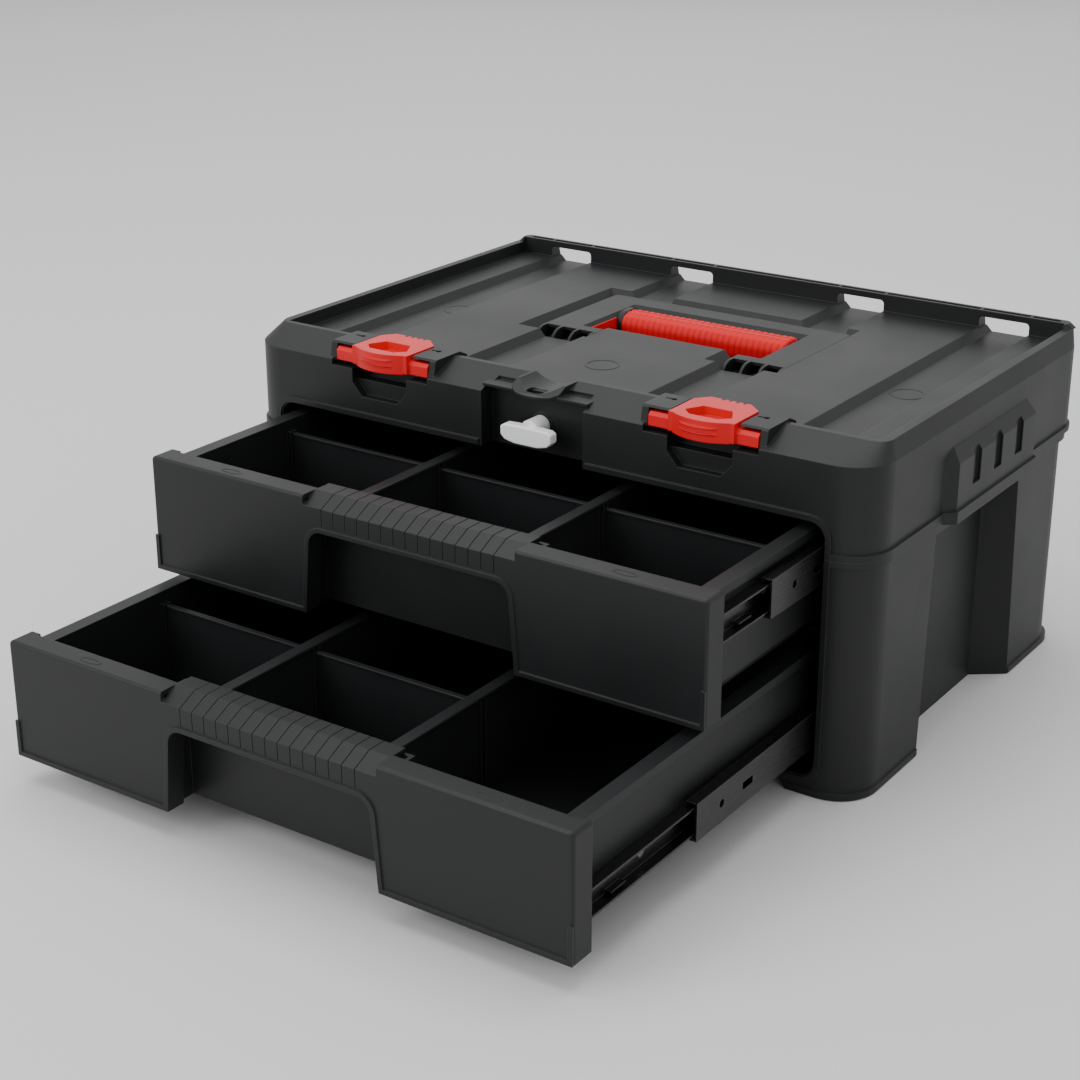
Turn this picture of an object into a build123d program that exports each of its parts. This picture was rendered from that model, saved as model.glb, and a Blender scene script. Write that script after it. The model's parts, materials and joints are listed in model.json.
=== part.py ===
from build123d import *
import os

# Portable tool box with two drawers, standing on its feet, drawers open as in use.
# Millimetres. +Z up, -Y is the side where the drawers come out, +X to the right.
# The origin is the centre of the body's footprint, on the floor.

# ---- driving dimensions: body ----
body_width = 481.0
body_depth = 332.0
seam_z = 159.0            # joint between the lower casing and the top housing
fascia_top_z = 218.2      # where the front chamfer starts
rim_z = 228.1             # top of the front and side rims
rear_rim_z = 231.5        # top of the rear rim, the highest point
deck_z = 219.0
wall = 3.0
corner_radius = 28.0
casing_rear_inset = 8.0   # the casing's rear wall stands in from the housing's
casing_rear_radius = 34.0

# ---- driving dimensions: drawers ----
front_half_width = 208.4
front_height = 78.3
front_thickness = 15.4
lower_front_z = 18.0
upper_front_z = 99.8
drawer_length = 306.0
tray_half_width = 198.5
tray_inner_half = 190.5
tray_rim_drop = 3.5       # the tray's side ledges lie this much below the front's top
lower_open = 261.0        # how far each drawer stands out
upper_open = 131.0

# ---- driving dimensions: slides ----
slide_length = 300.0
slide_width = 12.5
slide_half_height = 14.0
slide_gauge = 1.2
rail_start = 19.0         # the rails begin this far behind the front face
lower_slide_z = 45.0
upper_slide_z = 153.5
middle_rail_share = 0.6   # part of the drawer's way that the middle rail makes

# ---- driving dimensions: latches, handle, lock ----
latch_x = 124.0
latch_half = 23.0
latch_wing_half = 38.5
latch_axis_back = 8.0     # pivot, measured back from the front face
latch_axis_z = 222.0
handle_axis_back = 152.0
handle_axis_z = 207.0
lock_z = 199.3
lock_wall_back = 13.0

front_y = -body_depth / 2
rear_y = body_depth / 2
half_w = body_width / 2
opening_half = 211.0
opening_top = 180.5
opening_bottom = 13.0
floor_z = 10.0
floor_thickness = 3.0


# ---- small builders ----
def block(x0, x1, y0, y1, z0, z1):
    """Box between two corners."""
    centre = Pos((x0 + x1) / 2, (y0 + y1) / 2, (z0 + z1) / 2)
    return centre * Box(x1 - x0, y1 - y0, z1 - z0)


def slab(half_x, y0, y1, radius, z0, z1):
    """Upright prism on a rounded rectangle."""
    outline = RectangleRounded(2 * half_x, y1 - y0, radius)
    return extrude(Pos(0, (y0 + y1) / 2, z0) * outline, amount=z1 - z0)


def plan_prism(points, z0, z1):
    """Upright prism on a polygon seen from above."""
    return extrude(Pos(0, 0, z0) * Polygon(*points, align=None), z1 - z0, dir=(0, 0, 1))


def side_prism(points, x0, x1):
    """Prism along X; its points are (y, z)."""
    return extrude(Plane.YZ.offset(x0) * Polygon(*points, align=None), x1 - x0, dir=(1, 0, 0))


def front_prism(points, y0, y1):
    """Prism along Y; its points are (x, z)."""
    return extrude(Plane.XZ.offset(-y1) * Polygon(*points, align=None), y1 - y0, dir=(0, -1, 0))


def rod(axis, centre, radius, length):
    """Cylinder centred on a point, along X, Y or Z."""
    turn = {"x": Rot(0, 90, 0), "y": Rot(90, 0, 0), "z": Rot(0, 0, 0)}[axis]
    return Pos(*centre) * turn * Cylinder(radius, length)


def both_sides(shape):
    """The shape and its mirror image across the YZ plane."""
    return [shape, shape.mirror(Plane.YZ)]


def taken_away(shape, cutters):
    for cutter in cutters:
        shape = shape - cutter
    return shape


def joined(shapes):
    result = shapes[0]
    for shape in shapes[1:]:
        result = result + shape
    return result


# ---- lower casing ----
recess_depth = 21.5       # the side wall between the corner pillars stands in this much
recess_top = 150.0
foot_gap_half = 185.5     # half the gap between the front feet
foot_slope = 6.5
bead_out = 1.6
bead_height = 4.0


def side_recess(grow):
    """Hollow between the front and rear pillars, on the right; grow thickens it."""
    inner_x = half_w - recess_depth - grow
    outer_x = half_w + 10
    inner = [(inner_x, -66 - grow), (inner_x, 52 + grow)]
    top = Polygon(inner[0], (outer_x, -75 - grow), (outer_x, 62 + grow), inner[1], align=None)
    low = Polygon(inner[0], (outer_x, -86 - grow), (outer_x, 76 + grow), inner[1], align=None)
    z_top = recess_top + grow
    return loft([Pos(0, 0, -1) * low, Pos(0, 0, z_top) * top], ruled=True)


def casing_plan(inset, z0, z1):
    """Casing outline, moved inwards, with the larger rear corners."""
    rear = rear_y - casing_rear_inset - inset
    body = slab(half_w - inset, front_y + inset, rear, corner_radius - inset, z0, z1)
    rear_cut = slab(half_w - inset, front_y + inset, rear, casing_rear_radius - inset, z0, z1)
    front_part = block(-half_w, half_w, front_y, 0, z0, z1)
    rear_part = block(-half_w, half_w, 0, rear_y, z0, z1)
    return (body & front_part) + (rear_cut & rear_part)


def opening_outline(grow):
    """Front opening seen from the front: a rounded rectangle."""
    width = 2 * (opening_half + grow)
    height = opening_top - opening_bottom + 2 * grow
    middle = (opening_top + opening_bottom) / 2
    return Pos(0, middle) * RectangleRounded(width, height, 10 + grow)


def opening_bead():
    """Raised bead round the front opening."""
    ring = opening_outline(4.6) - opening_outline(0.8)
    return extrude(Plane.XZ.offset(-front_y) * ring, amount=bead_out)


def slide_pad(z_mid):
    """Raised rib inside the right wall that carries a fixed slide rail."""
    inner_wall = half_w - recess_depth - wall
    y0 = front_y + rail_start
    return block(opening_half, inner_wall + 0.5, y0, y0 + slide_length + 3, z_mid - 9, z_mid + 9)


def lower_casing():
    shell = casing_plan(0, 0, seam_z)
    for recess in both_sides(side_recess(0)):
        shell = shell - recess
    inside = casing_plan(wall, floor_z + floor_thickness, seam_z + 1)
    under = casing_plan(wall, -1, floor_z)
    for recess in both_sides(side_recess(wall)):
        inside = inside - recess
        under = under - recess
    shell = shell - inside - under
    shell = shell - extrude(Plane.XZ.offset(-front_y - wall - 1) * opening_outline(0), amount=9)
    shell = shell - foot_gap(front_y) - foot_gap(rear_y - casing_rear_inset)
    core = casing_plan(1.0, 0, rim_z)
    parts = [shell, rim_bead(seam_z - bead_height, seam_z, rear_y - casing_rear_inset, core)]
    for pad in both_sides(slide_pad(lower_slide_z)):
        parts.append(pad)
    for pad in both_sides(slide_pad(upper_slide_z - 6)):
        parts.append(pad & block(-half_w, half_w, front_y, rear_y, 0, seam_z))
    for x in (-120, -40, 40, 120):
        parts.append(block(x - 1.5, x + 1.5, front_y + 30, rear_y - 40, 3, floor_z + 0.5))
    for y in (-80, 0, 80):
        parts.append(block(-foot_gap_half, foot_gap_half, y - 1.5, y + 1.5, 3, floor_z + 0.5))
    parts.append(foot_beads())
    casing = joined(parts)
    casing = casing + (opening_bead() & block(-half_w, half_w, front_y - 5, 0, 0, seam_z))
    bosses = [rod("z", (x, y, seam_z - 12), 4.5, 24) for x, y in joint_screw_places()]
    return taken_away(joined([casing] + bosses), joint_screw_holes() + rail_screw_bores())


def foot_gap(y):
    """Raised edge between two feet, with sloped ends."""
    low = foot_gap_half + foot_slope
    points = [(-low, -1), (low, -1), (low, 0), (foot_gap_half, floor_z - 0.4)]
    points += [(-foot_gap_half, floor_z - 0.4), (-low, 0)]
    return front_prism(points, y - 8, y + 8)


def joint_screw_holes():
    return [rod("z", (x, y, seam_z - 4.5), 1.6, 42) for x, y in joint_screw_places()]


def rail_screw_bores():
    """Holes in the slide pads for the screws of the fixed rails."""
    bores = []
    for z in (lower_slide_z, upper_slide_z):
        for y in rail_screw_places():
            place = (opening_half + 2.5, front_y + rail_start + y, z)
            bores += both_sides(rod("x", place, 1.9, 6.0))
    return bores


def rim_bead(z0, z1, rear, core):
    """Bead round the outline at the seam and round the side grips, open in front."""
    plan = slab(half_w + bead_out, front_y - bead_out, rear + bead_out, corner_radius + bead_out, z0, z1)
    for points in (grip_plan(bead_out), [(-x, y) for x, y in grip_plan(bead_out)]):
        plan = plan + plan_prism(points, z0, z1)
    plan = plan - core
    return plan - block(-opening_half - 3, opening_half + 3, front_y - 5, front_y + 5, z0 - 1, z1 + 1)


def foot_beads():
    """Thicker lip round the bottom of the four feet."""
    grown = slab(half_w + 1, front_y - 0.8, rear_y - casing_rear_inset + 1, corner_radius, 0.8, 5)
    ring = grown - casing_plan(1.5, 0, 6)
    ring = ring - block(-foot_gap_half - 7, foot_gap_half + 7, front_y - 9, rear_y + 9, 0, 6)
    for recess in both_sides(side_recess(0)):
        ring = ring - recess
    return ring


def joint_screw_places():
    """Screws that hold the top housing on the casing: x, y."""
    side = half_w - 7.0
    return [(x, y) for x in (-side, side) for y in (front_y + 24, rear_y - 46)]


# ---- top housing ----
groove_centres = (-184.0, -72.0, 72.0, 184.0)
groove_half = 18.75
groove_z = 213.7
rim_inner_half = 228.5
rim_inner_front = 30.0    # back from the front face
rear_rim_inner = 12.6     # in from the rear face
deck_gauge = 3.0
pocket_left = -109.3
pocket_right = 100.5
pocket_back = 263.0       # back from the front face, at deck level
pocket_front = 140.0
pocket_floor_z = 192.5
tongue_left = -50.5       # the deck reaches between the two hinges up to the grip
tongue_right = 44.6
tongue_back = 167.5
centre_half = 39.5
hump_half = 18.5          # outer sides of the two humps over the lock
grip_out = 6.5            # side grip: how far it stands out
grip_front = 108.0        # its pads' ends, back from the front face
grip_rear = 231.0
grip_pad = 22.0
grip_gap = 11.7
grip_top_z = 194.0


def housing_outside():
    """Outer form: straight walls, a wide front chamfer, and the higher rear rim."""
    wall_part = slab(half_w, front_y, rear_y, corner_radius, seam_z, fascia_top_z)
    foot = Pos(0, 0, fascia_top_z) * RectangleRounded(body_width, body_depth, corner_radius)
    top_depth = body_depth - 26 - 3
    top_mid = (26 - 3) / 2
    head = Pos(0, top_mid, rim_z) * RectangleRounded(2 * 234.5, top_depth, 10)
    crown = loft([foot, head], ruled=True)
    rear_low = Pos(0, rear_y - 3 - 6.5, rim_z) * RectangleRounded(2 * 234.5, 13, 5)
    rear_high = Pos(0, rear_y - 4 - 6.0, rear_rim_z) * RectangleRounded(2 * 231, 11.5, 5)
    rear_rim = loft([rear_low, rear_high], ruled=True)
    return wall_part + crown + rear_rim


def deck_hollow():
    """Space above the deck, between the rims."""
    rear = rear_y - rear_rim_inner
    hollow = block(-rim_inner_half, rim_inner_half, front_y + rim_inner_front, rear, deck_z, rim_z + 5)
    return hollow


def groove(centre, grow, z_top):
    """Long channel in the deck: a sloped left wall and an upright right wall."""
    left = centre - groove_half - grow
    right = centre + groove_half + grow
    depth = deck_z - groove_z
    bottom = groove_z - grow
    points = [(left, z_top), (left, deck_z - grow * 0.3), (left + depth, bottom)]
    points += [(right, bottom), (right, z_top)]
    return front_prism(points, front_y + rim_inner_front - grow, rear_y + 5)


def rear_window(centre):
    """Opening through the rear rim at the end of a groove."""
    left = centre - groove_half
    right = centre + groove_half
    top = 227.0
    y0 = rear_y - rear_rim_inner - 2
    hole = block(left, right, y0, rear_y + 5, deck_z - 1, top)
    edges = hole.edges().filter_by(Axis.Y).group_by(Axis.Z)[-1]
    return fillet(edges, 3.0)


def handle_pocket(grow):
    """Well for the folded handle, with sloped left and rear walls."""
    slope = 11.0
    left = pocket_left - grow
    right = pocket_right + grow
    y0 = front_y + pocket_front - grow
    y1 = front_y + pocket_back + grow
    top = Polygon((left, y0), (right, y0), (right, y1), (left, y1), align=None)
    inner = [(left + slope, y0), (right, y0), (right, y1 - slope), (left + slope, y1 - slope)]
    low = Polygon(*inner, align=None)
    sloped = loft([Pos(0, 0, deck_z - slope) * low, Pos(0, 0, deck_z) * top], ruled=True)
    straight = plan_prism(inner, pocket_floor_z - grow, deck_z - slope)
    mouth = plan_prism([(left, y0), (right, y0), (right, y1), (left, y1)], deck_z, rim_z + 5)
    well = sloped + straight + mouth
    return well - deck_tongue(grow)


def deck_tongue(grow):
    """Part of the deck between the two hinges; its right side slopes."""
    left = tongue_left + grow
    right = tongue_right - grow
    y0 = front_y + pocket_front - 20
    y1 = front_y + tongue_back - grow
    z0 = pocket_floor_z - grow - 1
    points = [(left, z0), (right + 11, z0), (right + 11, deck_z - 11), (right, deck_z)]
    return front_prism(points + [(right, rim_z + 9), (left, rim_z + 9)], y0, y1)


def centre_recess(grow, z_low):
    """Recess in the middle of the fascia, open below, where the lock knob sits."""
    x = centre_half + grow
    return block(-x, x, front_y - 5, front_y + lock_wall_back + grow, z_low, 222.0 + grow)


lip_low = 220.8
lip_high = 222.6


def lip_nose(z0, z1):
    """Round bulge in the middle of the lip, between two heights."""
    chord = 19.0
    reach = 9.0
    radius = (chord ** 2 + reach ** 2) / (2 * reach)
    disc = rod("z", (0, front_y + 5.5 - reach + radius, (z0 + z1) / 2), radius, z1 - z0)
    return disc & block(-chord, chord, front_y - 6, front_y + 30, z0, z1)


def bridge_lip():
    """Thin lip over the lock, with two humps and a padlock hole between them."""
    back = front_y + rim_inner_front - 0.5
    lip = block(-centre_half - 1, centre_half + 1, front_y + 3.5, back, lip_low, lip_high)
    lip = lip + lip_nose(lip_low, lip_high)
    slope = [(front_y - 2, lip_low + 0.5), (back, lip_low + 0.5), (back, rim_z), (front_y + 12, rim_z)]
    humps = side_prism(slope, -hump_half, hump_half) & lip_nose(lip_low, rim_z)
    saddle_radius = 30.0
    humps = humps - rod("y", (0, front_y + 13, lip_high + 0.4 + saddle_radius), saddle_radius, 60)
    hole = Pos(0, front_y + 7, lip_low) * extrude(RectangleRounded(13, 10, 3), amount=20, both=True)
    return (lip + humps) - hole


def latch_seat(x):
    """Cut in the front edge for one latch, with the six-sided hollow below its lip."""
    w = latch_wing_half + 2.0
    b = front_y + latch_axis_back
    room = [(b - 13, 214.4), (b + 4.8, 214.4), (b + 6.9, 217.4), (b + 6.9, 228.6), (b - 13, rim_z + 5)]
    cut = side_prism(room, x - w, x + w)
    half = latch_half + 1.2
    plate = block(x - half, x + half, front_y - 5, front_y + 43, 223.6, rim_z + 5)
    low, mid = 196.0, 205.0
    points = [(x - latch_half, 216), (x - latch_half, mid), (x - latch_half + 8, low)]
    points += [(x + latch_half - 8, low), (x + latch_half, mid), (x + latch_half, 216)]
    hollow = front_prism(points, front_y - 5, front_y + 6)
    deep = block(x - half, x + half, front_y + 1.5, front_y + 14.5, 206.5, 216)
    return cut + plate + hollow + deep


def latch_ears(x):
    """Two ears beside a latch: they cover its wings from above and hold its pin."""
    ears = []
    inner = latch_half + 1.6
    outer = latch_wing_half + 5.5
    top = rim_z + 1.8
    y0 = front_y + latch_axis_back - 3.0
    profile = [(y0, 228.7), (y0 + 1.6, top), (front_y + 32, top), (front_y + 40, 226.0)]
    profile += [(front_y + 40, deck_z - 1), (front_y + 15.0, deck_z - 1), (front_y + 15.0, 228.7)]
    for side in (-1, 1):
        a, b = sorted((x + side * inner, x + side * outer))
        ear = side_prism(profile, a, b)
        c, d = sorted((x + side * (latch_wing_half + 0.7), x + side * outer))
        cheek = [(front_y + 3.0, 217.0), (y0, 228.7), (y0 + 1.6, top), (front_y + 17, top), (front_y + 17, 217.0)]
        ears.append((ear + side_prism(cheek, c, d)) - keyhole(x + side * (latch_half + 9.5)))
    return ears


def keyhole(x):
    """Blind hole with a slot beside it, in the top of an ear."""
    y, top = front_y + 24.0, rim_z + 1.8
    return rod("z", (x, y, top), 1.9, 6.0) + block(x - 6.0, x + 1, y - 0.9, y + 0.9, top - 2.0, top + 1)


def grip_plan(grow):
    """Side grip seen from above: a trapezium that stands out of the right wall."""
    out = half_w + grip_out + grow
    front, rear = front_y + grip_front - grow, front_y + grip_rear + grow
    return [(half_w - 1, front - 9), (out, front), (out, rear), (half_w - 1, rear + 9)]


def side_grip():
    """Hand grip on the right wall, with three upright recesses and a sloped top."""
    body = plan_prism(grip_plan(0), seam_z, grip_top_z)
    cap = Pos(0, 0, grip_top_z) * Polygon(*grip_plan(0), align=None)
    y0, y1 = front_y + grip_front, front_y + grip_rear
    inner = [(half_w - 1, y0), (half_w + 0.4, y0 + 3), (half_w + 0.4, y1 - 3), (half_w - 1, y1)]
    roof = loft([cap, Pos(0, 0, grip_top_z + 9) * Polygon(*inner, align=None)], ruled=True)
    grip = body + roof
    for index in range(3):
        y = y0 + grip_pad + index * (grip_pad + grip_gap)
        grip = grip - block(half_w + 4.0, half_w + 9.0, y, y + grip_gap, 174.0, rim_z)
    return grip


def top_housing():
    shell = housing_outside()
    shell = joined([shell] + both_sides(side_grip()))
    inside = slab(half_w - wall, front_y + wall, rear_y - wall, corner_radius - wall, seam_z - 1, 216.0)
    inside = inside - centre_recess(wall, opening_top) - handle_pocket(wall)
    for centre in groove_centres:
        inside = inside - groove(centre, deck_gauge, rim_z)
    for x in (-latch_x, latch_x):
        inside = inside - block(x - 45, x + 45, front_y, front_y + 47, 192.5, 217)
    shell = shell - inside - deck_hollow() - handle_pocket(0)
    for centre in groove_centres:
        shell = shell - (groove(centre, 0, deck_z + 0.01) - rear_guard()) - rear_window(centre)
        shell = shell - groove_tail(centre)
    shell = (shell - centre_recess(0, seam_z - 1) - rim_notch()) + bridge_lip()
    for x in (-latch_x, latch_x):
        shell = shell - latch_seat(x)
        shell = joined([shell] + latch_ears(x))
        shell = shell - latch_pin_hole(x)
    shell = taken_away(shell, rear_pockets())
    opening = extrude(Plane.XZ.offset(-front_y - wall - 1) * opening_outline(0), amount=9)
    shell = shell - opening
    core = slab(half_w - 1, front_y + 1, rear_y - 1, corner_radius - 1, 0, rim_z)
    shell = shell + rim_bead(seam_z, seam_z + bead_height, rear_y, core)
    frame = opening_bead() & block(-half_w, half_w, front_y - 5, 0, seam_z, 300)
    shell = shell + (frame - block(-centre_half - 2, centre_half + 2, front_y - 9, front_y, 170, 300))
    shell = joined([shell] + handle_lugs() + housing_pads() + housing_bosses())
    y_wall = front_y + lock_wall_back
    shell = shell + rod("y", (0, y_wall + 0.5, lock_z), 8.2, 3.0)
    shell = shell - rod("y", (0, y_wall + 1, lock_z), 4.3, 14)
    shell = taken_away(shell, joint_screw_holes())
    return taken_away(shell, handle_pin_bores(2.6))


def rear_guard():
    """The part of a groove's run that the rear rim keeps."""
    return block(-half_w, half_w, rear_y - rear_rim_inner, rear_y + 9, 0, 300)


def groove_tail(centre):
    """Groove's run out through the rear rim, at the groove's own depth."""
    return groove(centre, 0, deck_z + 0.5) & rear_guard()


def rim_notch():
    """Cut in the rim over the lip: two open pockets and a saddle between them."""
    half = centre_half - 2.5
    cut = block(-half, half, front_y - 5, front_y + 17, lip_high, rim_z + 5)
    saddle = rod("y", (0, front_y + 22, lip_high + 0.4 + 30.0), 30.0, 20)
    return cut + saddle


def rear_pockets():
    """Shallow pockets along the top of the rear rim, between thin webs."""
    marks = [-225.0, 225.0]
    for centre in groove_centres:
        marks += [centre - groove_half, centre + groove_half]
    marks = sorted(marks)
    pockets = []
    for left, right in zip(marks[:-1], marks[1:]):
        pockets.append(block(left + 1, right - 1, rear_y - 10.5, rear_y - 6.5, rear_rim_z - 2.5, 240))
    return pockets


hinge_ribs = ((-95.0, -81.2, -67.4, -53.6), (58.0, 71.4, 84.8, 98.2))


def handle_lugs():
    """Blocks in the handle well that fill the hinge cells and carry the pins."""
    lugs = []
    y = front_y + handle_axis_back
    for ribs in hinge_ribs:
        for left, right in zip(ribs[:-1], ribs[1:]):
            x = (left + right) / 2
            y0 = front_y + pocket_front - 0.5
            lugs.append(block(x - 4.6, x + 4.6, y0, y + 11, pocket_floor_z - 1, handle_axis_z + 2.8))
    return lugs


def handle_pin_bores(radius):
    y = front_y + handle_axis_back
    return [rod("x", ((ribs[0] + ribs[-1]) / 2, y, handle_axis_z), radius, 44) for ribs in hinge_ribs]


def latch_pin_hole(x):
    length = 2 * (latch_wing_half + 3.0)
    return rod("x", (x, front_y + latch_axis_back, latch_axis_z), 1.6, length)


def housing_pads():
    """Upper part of the ribs that carry the upper drawer's fixed rails."""
    inside = slab(half_w - 1, front_y + 1, rear_y - 1, corner_radius - 1, 0, rim_z)
    y0 = front_y + wall - 0.5
    rib = block(opening_half, half_w - wall + 0.5, y0, y0 + slide_length + 6, seam_z, upper_slide_z + 16)
    return both_sides(rib & inside)


def housing_bosses():
    return [rod("z", (x, y, seam_z + 10), 4.5, 20) for x, y in joint_screw_places()]


# ---- drawer fronts ----
grip_half = 80.0
cut_half_low = 80.0
cut_half_top = 75.0
cut_height = 56.3
grip_back = 26.0
grip_slope_back = 13.0
grip_slope_drop = 6.3
rib_count = 15
rib_pitch = 9.3


def cutout_points(grow):
    low = cut_half_low + grow
    top = cut_half_top + grow
    z = cut_height + grow
    return [(-low, -1), (low, -1), (top, z), (-top, z)]


def cutout_prism(grow, y0, y1):
    """Finger opening below the grip, seen from the front, with round upper corners."""
    body = front_prism(cutout_points(grow), y0, y1)
    edges = body.edges().filter_by(Axis.Y).group_by(Axis.Z)[-1]
    return fillet(edges, 10.0 + grow)


def drawer_front():
    """Front panel, its face at y = 0 and its lower edge at z = 0."""
    panel = block(-front_half_width, front_half_width, 0, front_thickness + 2, 0, front_height)
    tray_room = block(-tray_half_width - 0.3, tray_half_width + 0.3, tray_front, 30, -1, 75.2)
    panel = panel - tray_room
    panel = fillet(panel.edges().filter_by(Axis.Y).group_by(Axis.Z)[-1], 3.0)
    rim = [e for e in panel.edges().filter_by(Axis.X) if e.center().Y < 0.1 and e.center().Z > 70]
    panel = fillet(rim, 2.0)
    back_cut = block(-tray_half_width - 0.3, tray_half_width + 0.3, front_thickness, 30, -1, 100)
    hollow = block(-tray_half_width + 4, tray_half_width - 4, 3, 30, 3, front_height - 3.1)
    for x in (-178, -115, 115, 178):
        hollow = hollow - block(x - 1, x + 1, 2, tray_front, 2, 90)
    for x, z in front_screw_places():
        hollow = hollow - rod("y", (x, 8, z), 3.5, 12)
    hollow = hollow - cutout_prism(3.0, 2, 12.4)
    top_shelf = block(-grip_half, grip_half, 2, grip_back, front_height - 3, front_height)
    panel = (panel - back_cut - hollow) + top_shelf
    sleeve = cutout_prism(2.6, 1, 12.4) & block(-100, 100, 0, 13, 0, 100)
    panel = (panel + sleeve) - cutout_prism(0, -5, 30)
    slope = [(-5, front_height + 5), (grip_slope_back, front_height + 5), (grip_slope_back, front_height)]
    slope += [(-0.001, front_height - grip_slope_drop), (-5, front_height - grip_slope_drop)]
    wedge = [(0.5, front_height - 9), (8.0, front_height - 9), (grip_slope_back + 8, front_height - 2)]
    wedge += [(grip_slope_back, front_height), (0, front_height - grip_slope_drop)]
    panel = (panel + side_prism(wedge, -grip_half, grip_half)) - side_prism(slope, -grip_half, grip_half)
    panel = panel + lower_bead()
    return taken_away(panel, grip_lines() + front_screw_holes())


def lower_bead():
    """Raised bead along the lower edge, round the finger opening and up the ends."""
    w = front_half_width
    outline = front_prism([(-w, 0), (w, 0), (w, front_height), (-w, front_height)], -1.0, 0.5)
    inner = front_prism([(-w + 3, 3), (w - 3, 3), (w - 3, 90), (-w + 3, 90)], -2, 2)
    ring = (outline - inner) & block(-w, w, -2, 2, 0, 24)
    arch = cutout_prism(3.0, -1.0, 0.5)
    ring = (ring + (arch & block(-w, w, -2, 2, 0, 90))) - cutout_prism(0, -5, 5)
    return ring


def grip_lines():
    """Fine cuts across the grip."""
    lines = []
    z_low = cut_height + 4
    for index in range(rib_count):
        x = (index - (rib_count - 1) / 2) * rib_pitch
        points = [(-1, z_low), (0.6, z_low), (0.6, front_height - grip_slope_drop - 0.4)]
        points += [(grip_slope_back + 0.4, front_height - 0.6), (grip_back + 1, front_height - 0.6)]
        points += [(grip_back + 1, front_height + 1), (-1, front_height + 1)]
        lines.append(side_prism(points, x - 0.35, x + 0.35))
    return lines


def front_screw_places():
    return [(x, z) for x in (-178, -115, 115, 178) for z in (14, 60)]


def front_screw_holes():
    return [rod("y", (x, tray_front, z), 1.25, 12) for x, z in front_screw_places()]


# ---- drawer trays and dividers ----
divider_x = 64.0
cross_y = 115.0
tray_floor = 2.5
tray_front = 12.4
middle_wall_front = 24.4
tray_gauge = 2.6
post = 2.0


def tray_side_points(half, low_half, z_low, z_top, z_turn):
    points = [(-low_half, z_low), (low_half, z_low), (half, z_turn), (half, z_top)]
    return points + [(-half, z_top), (-half, z_turn)]


def tray(rail_z):
    """Open box of one drawer; its slides' centre line is at rail_z."""
    top = front_height - tray_rim_drop
    outer_points = tray_side_points(tray_half_width, 188.0, 0, top, 13.0)
    body = front_prism(outer_points, tray_front, drawer_length)
    inner_points = tray_side_points(tray_inner_half, 182.0, tray_floor, top + 5, 12.0)
    inside = front_prism(inner_points, front_thickness, drawer_length - tray_gauge)
    middle = block(-86, 86, 0, middle_wall_front + tray_gauge, -1, 100)
    body = body - (inside - middle)
    body = body - block(-83.4, 83.4, 0, middle_wall_front, -1, 100)
    for side in (-1, 1):
        a, b = sorted((side * 193.1, side * 195.9))
        body = body - block(a, b, tray_front + 3, drawer_length - 3, -1, top - 3)
        a, b = sorted((side * (tray_half_width - 1), side * 201.0))
        ledge = block(a, b, front_thickness + 2.3, drawer_length, top - 2.5, top)
        a, b = sorted((side * 199.2, side * 201.0))
        skirt = block(a, b, front_thickness + 2.3, drawer_length, top - 6.0, top)
        body = body + ledge + skirt
    body = body + tray_posts(top)
    holes = [rod("y", (x, tray_front, z), 1.3, 14) for x, z in front_screw_places()]
    return taken_away(body, holes + tray_rail_bores(rail_z))


def tray_rail_bores(rail_z):
    """Holes in the tray's sides for the drawer rails' screws."""
    bores = []
    for y in rail_screw_places():
        bores += both_sides(rod("x", (tray_half_width - 1.5, rail_start + y, rail_z), 1.9, 5.0))
    return bores


def tray_posts(top):
    """Pairs of upright ribs that hold the ends of the dividers."""
    ribs = []
    z1 = top - 8
    for x in (-divider_x, divider_x):
        for dx in (-2.6, 2.6):
            a, b = x + dx - post / 2, x + dx + post / 2
            y_front = middle_wall_front + tray_gauge
            ribs.append(block(a, b, y_front - 0.3, y_front + 3, tray_floor - 0.3, z1))
            y_rear = drawer_length - tray_gauge
            ribs.append(block(a, b, y_rear - 3, y_rear + 0.3, tray_floor - 0.3, z1))
    for side in (-1, 1):
        for dy in (-2.4, 2.4):
            a, b = sorted((side * (tray_inner_half - 3), side * (tray_inner_half + 0.3)))
            y = cross_y + dy
            ribs.append(block(a, b, y - post / 2, y + post / 2, 12.5, z1))
    return joined(ribs)


def long_divider(x):
    """Divider from front to back, with a wide cap and clips for the cross dividers."""
    y0 = middle_wall_front + tray_gauge + 0.3
    y1 = drawer_length - tray_gauge - 0.3
    top = front_height - tray_rim_drop - 4
    plate = block(x - 1.3, x + 1.3, y0, y1, tray_floor, top)
    cap = block(x - 4.2, x + 4.2, y0 + 3.2, y1 - 3.2, top - 2.0, top)
    cap = fillet(cap.edges().filter_by(Axis.Y).group_by(Axis.Z)[-1], 0.8)
    clips = []
    for side in (-1, 1):
        for dy in (-2.4, 2.4):
            a, b = sorted((x + side * 1.2, x + side * 4.0))
            y = cross_y + dy
            clips.append(block(a, b, y - post / 2, y + post / 2, tray_floor, top - 2.2))
    return joined([plate, cap] + clips)


def cross_divider(x0, x1):
    """Short divider across a row, held in the clips."""
    top = front_height - tray_rim_drop - 9
    plate = block(x0, x1, cross_y - 1.1, cross_y + 1.1, 12.6, top)
    foot = block(max(x0, -181), min(x1, 181), cross_y - 1.1, cross_y + 1.1, tray_floor, 12.7)
    bead = block(x0 + 4, x1 - 4, cross_y - 2.0, cross_y + 2.0, top - 1.6, top)
    return plate + foot + bead


def cross_divider_spans():
    gap = 0.3
    inner = tray_inner_half - gap
    near = divider_x - 1.3 - gap
    far = divider_x + 1.3 + gap
    return {"left": (-inner, -far), "middle": (-near, near), "right": (far, inner)}


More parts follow.
